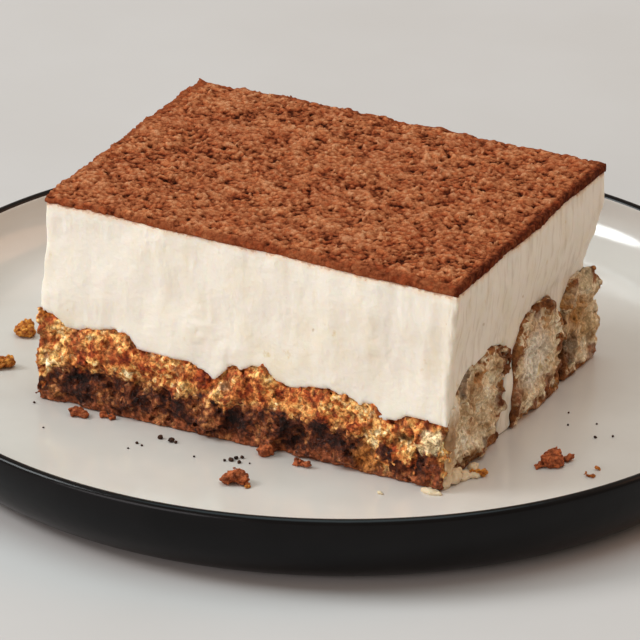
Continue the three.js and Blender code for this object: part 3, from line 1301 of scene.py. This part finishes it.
@dataclass
class Plate:
    """Thrown stoneware plate: flat well, curved wall with a round lip, and a flat foot ring."""

    rim_radius: float = 101.5 * MM
    rim_height: float = 17.7 * MM
    lip_width: float = 2.4 * MM
    well_radius: float = 86 * MM
    foot_radius: float = 89 * MM
    foot_width: float = 6 * MM
    foot_depth: float = 1.6 * MM
    foot_slope: float = 1.6 * MM  # width of the slope from the underside to the foot ring
    soft: float = 0.5 * MM  # how far along each turn of the foot's section is softened
    soft_top: float = 0.15 * MM  # how far its points lie below the sharp turn at the top of the slope
    soft_base: Pair = (0.2 * MM, 0.12 * MM)  # and inwards and up from the one at the base
    well_rings: tuple[float, ...] = (0.96, 0.8, 0.5, 0.2, 0.0)  # as shares of the well's radius
    wall_steps: int = 16
    lip_steps: int = 12
    turns: int = 224
    glaze_edge: float = 0.1 * MM  # how far past the lip's inner side the black glaze starts

    def profile(self) -> list[Pair]:
        """Half of the plate's section.

        Returns:
            Radius and height of each point, from the middle of the underside round the lip to the middle of
            the well.
        """
        lip = self.lip_width / 2
        lip_height = self.rim_height - lip
        inner_radius = self.rim_radius - self.lip_width
        inner_foot = self.foot_radius - self.foot_width
        slope = inner_foot - self.foot_slope
        points = [(0.0, self.foot_depth), (slope - self.soft, self.foot_depth)]
        points.append((slope, self.foot_depth - self.soft_top))
        points.append((inner_foot - self.soft_base[0], self.soft_base[1]))
        points += [(inner_foot + self.soft, 0.0), (self.foot_radius - self.soft, 0.0)]
        angles = [math.pi / 2 * i / self.wall_steps for i in range(self.wall_steps + 1)]
        width = self.rim_radius - self.foot_radius
        points += [(self.foot_radius + width * math.sin(a), lip_height * (1 - math.cos(a))) for a in angles]
        for i in range(1, self.lip_steps):
            a = math.pi * i / self.lip_steps
            points.append((self.rim_radius - lip + lip * math.cos(a), lip_height + lip * math.sin(a)))
        width = inner_radius - self.well_radius
        rise = lip_height - WELL_HEIGHT
        points += [(self.well_radius + width * math.sin(a), WELL_HEIGHT + rise * (1 - math.cos(a)))
                   for a in reversed(angles)]
        points += [(self.well_radius * share, WELL_HEIGHT) for share in self.well_rings]
        return points

    def build(self) -> Piece:
        """Draws the section by extruding one point, spins it and closes it."""
        points = self.profile()
        bpy.ops.object.select_all(action="DESELECT")
        bpy.ops.mesh.primitive_plane_add(size=1 * MM, location=(0, 0, 0))
        piece = bpy.context.object
        with edit_mode():
            bpy.ops.mesh.merge(type="CENTER")
            bpy.ops.transform.translate(value=(points[0][0], 0, points[0][1]))
            for (r0, z0), (r1, z1) in zip(points, points[1:]):
                bpy.ops.mesh.extrude_vertices_move(TRANSFORM_OT_translate={"value": (r1 - r0, 0, z1 - z0)})
            bpy.ops.mesh.select_all(action="SELECT")
            bpy.ops.mesh.spin(steps=self.turns, angle=2 * math.pi, center=(0, 0, 0), axis=(0, 0, 1))
            bpy.ops.mesh.select_all(action="SELECT")
            bpy.ops.mesh.remove_doubles(threshold=2 * SAME_PLACE)
            bpy.ops.mesh.normals_make_consistent(inside=False)
        bpy.ops.object.shade_smooth()
        name_piece(piece, "glazed_plate")
        WhiteGlaze("white_glaze").dress(piece)
        BlackGlaze("black_glaze").dress(piece)
        self.part_glazes(piece)
        mount(piece, "pale_glaze", "plate")
        return piece

    def part_glazes(self, piece: Piece) -> None:
        """Gives the black glaze to the lip, the outer wall and the underside.

        Args:
            piece: the plate, with the white glaze first and the black one second.
        """
        edge = self.rim_radius - self.lip_width + self.glaze_edge
        for face in piece.data.polygons:
            radius = math.hypot(face.center.x, face.center.y)
            if radius > edge or face.normal.z < 0:
                face.material_index = 1


# ---------------------------------------------------------------- the layers

GAP_UNDER_MIDDLE = Hollow((51.0, -10.0, 6.2), (50.0, 1.0, 4.8), 2.5 * MM)  # where the middle finger bridges


@dataclass
class SpongeFinger:
    """One soaked sponge finger, with crumb cut into the faces that show."""

    name: str
    sides: tuple[Side, ...]
    section: Section
    stains: tuple[Stain, ...] = ()
    hollows: tuple[Hollow, ...] = ()

    def build(self) -> Piece:
        """Carves the finger's crumb and dresses it."""
        piece = copy_of_node("sponge_finger_" + self.name, "sponge_crumb_" + self.name)
        Carving(
            voxel=0.38 * MM,
            cuts=(
                Swell(0.2 * MM),
                Relief(1.0 * MM, 5.5 * MM),
                Relief(0.85 * MM, 2.5 * MM, detail=3.0, shift=5.0, rough=0.6),
                Clumps(0.35 * MM, CRUMB_GRAIN),
                Pits(2.0 * MM, 2.0 * MM, onset=0.5, shift=4.0),
                Pits(1.6 * MM, 3.4 * MM, onset=0.6, shift=8.0),
                *self.hollows,
            ),
            sides=self.sides,
        ).carve(piece)
        SpongeFinish("soaked_crumb_" + self.name, self.section, self.stains).dress(piece)
        mount(piece, "soaked_sponge", "sponge_finger_" + self.name)
        return piece


@dataclass
class Cream:
    """The mascarpone cream round the fingers, with knife streaks and small pits in its cut faces."""

    def build(self) -> Piece:
        """Carves the streaks and dresses the cream."""
        piece = copy_of_node("mascarpone_cream", "cream_block")
        Carving(
            voxel=0.6 * MM,
            cuts=(
                Swell(0.2 * MM),
                Relief(0.35 * MM, (9 * MM, 9 * MM, 12 * MM), shift=3.0),
                Relief(0.22 * MM, (2.4 * MM, 2.4 * MM, 13 * MM), 1.5, lean=(0.06, -0.16), patch=12 * MM),
                Relief(0.2 * MM, 3.0 * MM, detail=3.0, shift=9.0, patch=8 * MM, rough=0.6),
                Pits(0.8 * MM, (2.4 * MM, 2.4 * MM, 3.4 * MM), onset=0.8, shift=5.0),
                GAP_UNDER_MIDDLE,
            ),
            sides=tuple(Side),
            hidden_share=0.06,
        ).carve(piece)
        CreamFinish("mascarpone").dress(piece)
        mount(piece, "cream", "mascarpone_cream")
        return piece


@dataclass
class CocoaTop:
    """The layer of cocoa powder, in fine soft clumps with deeper pits."""

    sunk: float = 0.3 * MM  # how far its underside goes down, to meet the cream

    def build(self) -> Piece:
        """Carves the clumps and dresses the powder."""
        piece = copy_of_node("cocoa_powder", "cocoa_clumps")
        select_faces(piece, lambda face: face.normal.z < -0.9)  # those that look down
        bpy.ops.transform.translate(value=(0, 0, -self.sunk))
        bpy.ops.object.mode_set(mode="OBJECT")
        Carving(
            voxel=0.39 * MM,
            cuts=(
                Swell(0.3 * MM),
                Relief(0.2 * MM, 6 * MM, shift=1.0),
                Relief(0.25 * MM, 3.2 * MM, shift=6.0),
                Relief(0.6 * MM, 1.25 * MM, detail=2.0, shift=3.0, rough=0.65),
                Clumps(0.35 * MM, COCOA_GRAIN),
                Pits(0.9 * MM, 1.7 * MM, onset=0.6, shift=4.0),
            ),
            calm=0.55,
            hidden_share=0.03,
        ).carve(piece)
        CocoaFinish("cocoa_powder").dress(piece)
        mount(piece, "cocoa", "cocoa_powder")
        return piece


# ---------------------------------------------------------------- crumbs


@dataclass(frozen=True)
class Crumb:
    """One loose crumb on the plate: its place, its length and width, its height and how far it is turned."""

    place: Pair  # millimetres, as is the size
    size: Triple
    turn: float = 0.0
    lumps: int = 7
    lump_size: Pair = (0.32, 0.5)  # smallest and largest radius of a lump, as shares of the height
    rest: Pair = (0.6, 1.0)  # how high a lump's middle lies, as shares of its radius
    heap: float = 0.25  # how much the middle is heaped up, as a share of the height

    def build(self, draw: random.Random) -> Piece:
        """Heaps up small balls inside an oval and carves the heap into one crumb.

        Args:
            draw: the seeded source of random numbers.

        Returns:
            The crumb.
        """
        balls = []
        for _ in range(self.lumps):
            angle = draw.uniform(0, 2 * math.pi)
            reach = math.sqrt(draw.random()) * 0.5
            radius = self.size[2] * draw.uniform(*self.lump_size)
            along = math.cos(angle) * reach * (self.size[0] - 1.2 * radius)
            across = math.sin(angle) * reach * (self.size[1] - 1.2 * radius)
            x = self.place[0] + along * math.cos(self.turn) - across * math.sin(self.turn)
            y = self.place[1] + along * math.sin(self.turn) + across * math.cos(self.turn)
            heaped = (1 - 2 * reach) * self.heap * self.size[2]
            z = WELL_HEIGHT / MM + radius * draw.uniform(*self.rest) + heaped
            balls.append(add_ball(Vector((x, y, z)) * MM, radius * MM, 2))
        heap = join(balls, "heap")
        fuse(heap, 0.22 * MM)
        grain = Grain(1.0 * MM, draw.uniform(0, 50))
        cuts = (Clumps(0.5 * MM, grain), Relief(0.2 * MM, 0.8 * MM, detail=2.0, shift=3.0))
        Carving(voxel=0.2 * MM, cuts=cuts).carve(heap)
        return heap


@dataclass
class CrumbGroup:
    """Loose crumbs of one colour, made as one piece."""

    name: str
    finish: CrumbFinish
    crumbs: tuple[Crumb, ...]
    seed: int
    slot: str = "soaked_sponge"

    def build(self) -> Piece:
        """Makes each crumb, joins them and dresses them."""
        draw = random.Random(self.seed)
        piece = join([crumb.build(draw) for crumb in self.crumbs], self.name)
        self.finish.dress(piece)
        mount(piece, self.slot)
        return piece


@dataclass
class Smears:
    """Cream that was dragged over the near corner, and bits of it that lie at its foot."""

    blobs: tuple[tuple[Triple, Triple], ...]  # place and size of each flattened ball, in millimetres

    def build(self) -> Piece:
        """Sets flattened balls side by side, fuses them and carves ragged holes into the whole."""
        balls = []
        for place, size in self.blobs:
            balls.append(add_ball(Vector(place) * MM, 0.5 * MM, 3))  # 1 mm wide, before it gets its size
            with edit_mode():
                bpy.ops.transform.resize(value=size)
        piece = join(balls, "cream_smears")
        fuse(piece, 0.25 * MM)
        cuts = (
            Relief(0.55 * MM, (1.8 * MM, 1.8 * MM, 3 * MM), detail=3.0, shift=2.0, rough=0.6),
            Clumps(0.3 * MM, Grain(1.1 * MM, 7.0)),
        )
        Carving(voxel=0.25 * MM, cuts=cuts, whole=False).carve(piece)
        SmearFinish("smeared_cream").dress(piece)
        mount(piece, "cream")
        return piece


@dataclass
class Specks:
    """Dark specks of soaked crumb and cocoa that lie on the well."""

    places: tuple[Triple, ...]  # X, Y and width in millimetres
    seed: int = 11
    rest: float = 0.3  # how high a speck's middle lies, as a share of its width
    spread: Pair = (0.7, 1.2)  # how much narrower or wider one is made along X and Y
    squash: Pair = (0.6, 0.9)
    rough: float = 0.12  # how far its points are moved at random, as a share of its width

    def build(self) -> Piece:
        """Sets small roughened balls on the well and joins them."""
        draw = random.Random(self.seed)
        balls = []
        for x, y, width in self.places:
            middle = Vector((x * MM, y * MM, WELL_HEIGHT + self.rest * width * MM))
            balls.append(add_ball(middle, width / 2 * MM, 2))
            with edit_mode():
                sizes = [draw.uniform(*limits) for limits in (self.spread, self.spread, self.squash)]
                bpy.ops.transform.resize(value=sizes)
                bpy.ops.transform.vertex_random(offset=self.rough * width * MM, seed=draw.randint(1, 999))
            bpy.ops.object.shade_smooth()
        piece = join(balls, "dark_specks")
        CrumbFinish("speck", "4A2A18", "2A150C").dress(piece)
        mount(piece, "soaked_sponge")
        return piece


# ---------------------------------------------------------------- the studio


@dataclass(frozen=True)
class Lamp:
    """A round lamp that faces the object."""

    name: str
    direction: Triple  # where it hangs, seen from the object
    distance: float
    size: float
    power: float  # watts
    tint: Triple  # linear red, green and blue

    def hang(self) -> None:
        """Makes the lamp and turns it to the object."""
        lamp = bpy.data.lights.new(self.name, "AREA")
        lamp.shape = "DISK"
        lamp.size = self.size
        lamp.energy = self.power
        lamp.color = self.tint
        outwards = Vector(self.direction).normalized()
        hung = bpy.data.objects.new(self.name, lamp)
        hung.location = outwards * self.distance
        hung.rotation_euler = (-outwards).to_track_quat("-Z", "Y").to_euler()
        bpy.context.scene.collection.objects.link(hung)


@dataclass
class Studio:
    """Pale floor, warm even light, soft lamps from the left, the front, above and behind, and the camera."""

    ambient: float = 0.4  # strength of the even light
    ambient_colour: Triple = (1.0, 0.83, 0.68)
    lamps: tuple[Lamp, ...] = (
        Lamp("key", (-0.9, -0.45, 0.85), 2.0, 0.8, 21.0, (0.92, 0.98, 1.0)),
        Lamp("front", (-0.35, -1.0, 0.2), 2.0, 1.4, 17.0, (1.0, 0.95, 0.98)),
        Lamp("top", (0.0, 0.0, 1.0), 1.8, 1.6, 16.5, (0.7, 0.94, 1.0)),
        Lamp("warm", (0.8, 0.9, 0.8), 2.0, 1.4, 7.0, (1.0, 0.5, 0.28)),
    )
    floor_size: float = 8.0
    azimuth: float = math.radians(26.43)
    elevation: float = math.radians(24.008)
    roll: float = math.radians(0.857)
    distance: float = 1164.566 * MM
    offset: Pair = (-2.922 * MM, 40.15 * MM)  # of the point looked at, to the right and level away
    lens: float = 281.25
    sensor: float = 36.0
    sight: Pair = (0.05, 30.0)  # nearest and farthest distance that the camera sees

    def build(self) -> None:
        """Makes the floor, the lights and the camera."""
        self.lay_floor()
        self.light()
        self.aim_camera()
        bpy.context.scene.view_settings.view_transform = "Standard"
        LOG.info("studio ready")

    def lay_floor(self) -> None:
        """Lays a large subdivided floor under the foot ring."""
        bpy.ops.object.select_all(action="DESELECT")
        bpy.ops.mesh.primitive_plane_add(size=self.floor_size, location=(0, 0, 0))
        floor = bpy.context.object
        with edit_mode():
            bpy.ops.mesh.subdivide(number_cuts=3)
        name_piece(floor, "floor")
        FloorFinish("pale_floor").dress(floor)

    def light(self) -> None:
        """Sets an even world and hangs the lamps."""
        world = bpy.data.worlds.new("studio")
        world.use_nodes = True
        background = world.node_tree.nodes["Background"]
        background.inputs["Color"].default_value = (*self.ambient_colour, 1)
        background.inputs["Strength"].default_value = self.ambient
        bpy.context.scene.world = world
        for lamp in self.lamps:
            lamp.hang()

    def aim_camera(self) -> None:
        """Sets the camera by its azimuth, elevation, roll and distance."""
        a, e = self.azimuth, self.elevation
        back = Vector((math.sin(a) * math.cos(e), -math.cos(a) * math.cos(e), math.sin(e)))
        level = Vector((math.cos(a), math.sin(a), 0))
        upright = back.cross(level)
        right = level * math.cos(self.roll) + upright * math.sin(self.roll)
        up = upright * math.cos(self.roll) - level * math.sin(self.roll)
        target = level * self.offset[0] + Vector((-math.sin(a), math.cos(a), 0)) * self.offset[1]
        data = bpy.data.cameras.new("camera")
        data.lens = self.lens
        data.sensor_width = self.sensor
        data.clip_start, data.clip_end = self.sight
        camera = bpy.data.objects.new("camera", data)
        turn = Matrix((right, up, back)).transposed().to_4x4()
        camera.matrix_world = Matrix.Translation(target + back * self.distance) @ turn
        bpy.context.scene.collection.objects.link(camera)
        bpy.context.scene.camera = camera


FRONT_STAINS = (
    Stain((-50, -42, 20), 3.6 * MM, "8E4420"), Stain((-49.5, -42, 26.5), 2.4 * MM, "D88432"),
    Stain((-33, -42, 19.5), 4.2 * MM, "9C4A20"), Stain((30, -42, 9), 4.5 * MM, "BE7A38"),
    Stain((46, -42, 9), 4 * MM, "8A4424"), Stain((45.5, -43, 16), 3.4 * MM, "F4E2B4"),
    Stain((42.5, -43, 14.5), 1.8 * MM, "F0D8A0"),
    Stain((48, -33, 26), 4.5 * MM, "5A3218"), Stain((48, -24.5, 24.5), 3 * MM, "BE7C34"),
    Stain((48, -12, 23), 4 * MM, "6A3418"), Stain((48, -13.5, 15), 3 * MM, "5E2C14"),
    Stain((48, -22, 8), 2.6 * MM, "5C3012"), Stain((48, -28.5, 7), 3 * MM, "8A5A26"),
)
FRONT_HOLLOWS = (
    Hollow((-3.2, -44.4, 7.2), (-1.8, -44.4, 12.5), 2.1 * MM),
    Hollow((9.5, -44.6, 6.8), (13.5, -44.6, 10.5), 2.7 * MM),
    Hollow((-45.5, -44.2, 6.5), (-42, -44.2, 6), 1.8 * MM),
    Hollow((36.5, -44.6, 14.5), (39.5, -44.6, 15.5), 2.4 * MM),
    Hollow((-56.5, -46, 5.5), (-56.5, -20, 5.5), 5.4 * MM),  # trims the lower left corner
    Hollow((-72.6, -44, 0), (-72.6, -44, 30), 21.4 * MM),
    Hollow((16, -46, 4.2), (26, -46, 4), 3.4 * MM),  # under the base
    Hollow((-13, -44.4, 18.5), (-12, -44.4, 15), 1.2 * MM),
    Hollow((28, -44.6, 13), (28.5, -44.6, 8), 1.3 * MM),
)
MIDDLE_STAINS = (
    Stain((48.6, 2.5, 18), 8.5 * MM, "F8F0E2"),
    Stain((48.6, 4, 28.5), 3.2 * MM, "7A4420"), Stain((48.6, 13, 28), 3.6 * MM, "5E3014"),
    Stain((48.6, 8, 25), 3 * MM, "BE8648"), Stain((48.6, -6.5, 13), 3.4 * MM, "946040"),
    Stain((48.6, 2, 7), 2.4 * MM, "8A5834"), Stain((48.6, 10, 9.5), 3 * MM, "8A4C28"),
    Stain((48.6, 4.5, 15), 2.4 * MM, "DEC68E"),
)
BACK_STAINS = (
    Stain((48.2, 22.5, 12), 5 * MM, "4E2A12"), Stain((48.2, 27, 20), 5.5 * MM, "B07A38"),
    Stain((48.2, 32, 15), 4.5 * MM, "C49A62"), Stain((48.2, 30, 27), 4 * MM, "DCC8A4"),
    Stain((48.2, 34, 7), 3 * MM, "8A4A2C"), Stain((48.2, 22.5, 25), 3.2 * MM, "B89A78"),
)
FINGERS = (
    SpongeFinger("front", (Side.FRONT, Side.LEFT, Side.RIGHT),
                 Section(-29 * MM, 15.6 * MM, 24.4 * MM, lean=6 * MM), FRONT_STAINS, FRONT_HOLLOWS),
    SpongeFinger("middle", (Side.LEFT, Side.RIGHT),
                 Section(4.3 * MM, 12.1 * MM, 24.2 * MM), MIDDLE_STAINS, (GAP_UNDER_MIDDLE,)),
    SpongeFinger("back", (Side.BACK, Side.LEFT, Side.RIGHT),
                 Section(29 * MM, 9.5 * MM, 23.4 * MM), BACK_STAINS),
)
SMEARS = Smears((
    ((47.9, -40.8, 9.0), (2.2, 3.6, 9.0)), ((47.9, -39.6, 15.0), (2.2, 3.8, 9.5)),
    ((48.1, -39.4, 21.5), (2.0, 5.0, 9.0)), ((48.4, -38.0, 6.4), (3.2, 4.6, 3.6)),
    ((47.8, -41.8, 6.0), (2.4, 3.0, 2.8)), ((49.4, -35.8, 5.6), (3.0, 3.6, 1.9)),
    ((46.2, -45.0, 5.1), (5.0, 2.6, 1.5)), ((49.6, -30.8, 5.6), (2.4, 3.0, 1.8)),
    ((50.6, -33.6, 5.5), (4.6, 2.4, 1.5)), ((37.2, -50.8, 5.1), (1.6, 0.9, 0.7)),
))
GOLDEN_CRUMBS = CrumbGroup("golden_crumbs", CrumbFinish("golden_crumb", "E39A42", "B0601E"), (
    Crumb((-70.5, -14.9), (5.6, 4.2, 3.4), 0.3, 9),
    Crumb((-66.1, -33.1), (4.6, 3.4, 3.0), 1.1, 7),
    Crumb((73.3, -17.8), (1.8, 1.2, 1.0), 0.3, 3),
    Crumb((73.4, -22.0), (2.0, 1.5, 1.1), 0.8, 4),
    Crumb((71.6, -21.4), (1.2, 1.0, 0.8), 0.2, 3),
    Crumb((51.9, -33.0), (4.2, 2.6, 2.0), 0.5, 6),
    Crumb((11.0, -61.6), (1.8, 1.4, 1.2), 0.5, 3),
), 3)
RUSSET_CRUMBS = CrumbGroup("russet_crumbs", CrumbFinish("russet_crumb", "C2683A", "84401E"), (
    Crumb((63.6, -20.2), (4.8, 4.2, 3.4), 0.2, 9),
    Crumb((65.4, -17.0), (3.0, 2.4, 1.6), 1.0, 5),
    Crumb((7.2, -61.2), (5.8, 4.2, 3.0), 0.1, 11),
    Crumb((-38.6, -47.4), (4.0, 3.0, 2.2), 0.4, 7),
    Crumb((-33.0, -45.4), (5.0, 1.8, 1.4), -0.05, 6),
    Crumb((6.5, -45.4), (3.6, 2.6, 2.8), 0.9, 6),
    Crumb((16.0, -46.5), (5.0, 2.4, 1.8), -0.1, 7),
    Crumb((61.6, -22.8), (2.6, 2.0, 1.5), 0.9, 5),
), 5)
SPECKS = Specks((
    (-17.4, -49.0, 1.3), (-14.6, -49.2, 1.5), (-13.4, -49.4, 0.8), (-20.7, -53.7, 0.8), (-19.2, -54.2, 0.6),
    (-21.2, -56.8, 0.5), (-6.6, -53.7, 0.6), (1.4, -51.6, 1.1), (1.9, -50.2, 1.0), (2.9, -49.3, 1.1),
    (3.4, -51.7, 0.9), (0.2, -52.4, 0.8), (5.6, -51.0, 0.5), (-50.8, -46.1, 0.7), (-42.6, -56.4, 0.5),
    (55.8, 5.6, 0.6), (58.3, -0.3, 0.6), (63.7, 3.2, 0.6), (66.2, -3.3, 0.8), (69.4, -1.0, 0.7),
))


def main() -> None:
    """Builds the studio and then the object, piece by piece."""
    logging.basicConfig(level=logging.INFO)
    Studio().build()
    Plate().build()
    for finger in FINGERS:
        finger.build()
    Cream().build()
    CocoaTop().build()
    SMEARS.build()
    GOLDEN_CRUMBS.build()
    RUSSET_CRUMBS.build()
    SPECKS.build()


if __name__ == "__main__":
    main()
